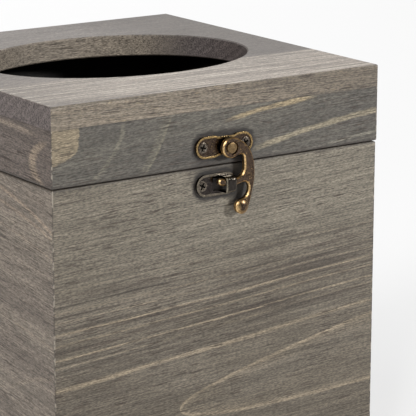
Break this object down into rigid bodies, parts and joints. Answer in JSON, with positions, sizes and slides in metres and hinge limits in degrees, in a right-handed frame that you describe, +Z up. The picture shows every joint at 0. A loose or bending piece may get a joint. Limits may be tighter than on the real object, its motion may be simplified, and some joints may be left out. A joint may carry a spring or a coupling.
{
  "type": "tissue box cover with drawer",
  "caption": "Square wooden tissue box cover with a hinged lid, an oval tissue opening, a swing hook latch and a small drawer low in the front.",
  "frame": {"origin": "middle of the case's underside, on the surface it stands on", "axes": "+Z up, -Y out of the front with the latch and the drawer, +X to the right as seen from the front"},
  "size_m": [0.152, 0.1682, 0.203],
  "materials": {
    "grey_stained_pine": "matt grey-brown stain with the grain showing",
    "plain_pine": "plain planed pine",
    "antique_bronze": "dark aged bronze plating, edges rubbed to brass",
    "dark_gunmetal": "dark aged plating, rim rubbed lighter",
    "screw_steel": "dark plated steel"
  },
  "bodies": {
    "case": {"case_front_panel": "grey_stained_pine", "case_back_panel": "grey_stained_pine", "case_left_panel": "grey_stained_pine", "case_right_panel": "grey_stained_pine", "base_board": "plain_pine", "tissue_shelf": "plain_pine", "drawer_guide_left": "plain_pine", "drawer_guide_right": "plain_pine", "drawer_stop": "plain_pine", "catch_plate": "dark_gunmetal", "catch_screw": "screw_steel", "hinge_left_case_leaf": "antique_bronze", "hinge_right_case_leaf": "antique_bronze", "hinge_left_pin": "antique_bronze", "hinge_right_pin": "antique_bronze", "case_hinge_screws": "screw_steel"},
    "lid": {"lid_top_board": "grey_stained_pine", "lid_front_rail": "grey_stained_pine", "lid_back_rail": "grey_stained_pine", "lid_left_rail": "grey_stained_pine", "lid_right_rail": "grey_stained_pine", "hook_plate": "antique_bronze", "hook_plate_screws": "screw_steel", "pivot_rivet": "antique_bronze", "hinge_left_lid_leaf": "antique_bronze", "hinge_right_lid_leaf": "antique_bronze", "lid_hinge_screws": "screw_steel"},
    "latch_hook": {"latch_hook": "antique_bronze"},
    "drawer": {"drawer_front": "grey_stained_pine", "drawer_left_side": "plain_pine", "drawer_right_side": "plain_pine", "drawer_back": "plain_pine", "drawer_bottom": "plain_pine", "drawer_knob": "antique_bronze", "drawer_knob_screw": "screw_steel"}
  },
  "joints": [
    {"name": "lid_hinge", "type": "hinge", "parent": "case", "child": "lid", "pos_m": [0, 0.0779, 0.1718], "axis": [-1, 0, 0], "range_deg": [0, 180]},
    {"name": "hook_swing", "type": "hinge", "parent": "lid", "child": "latch_hook", "pos_m": [0.0022, -0.07885, 0.1788], "axis": [0, -1, 0], "range_deg": [0, 180]},
    {"name": "drawer_slide", "type": "slide", "parent": "case", "child": "drawer", "axis": [0, -1, 0], "range_m": [0, 0.1]}
  ]
}
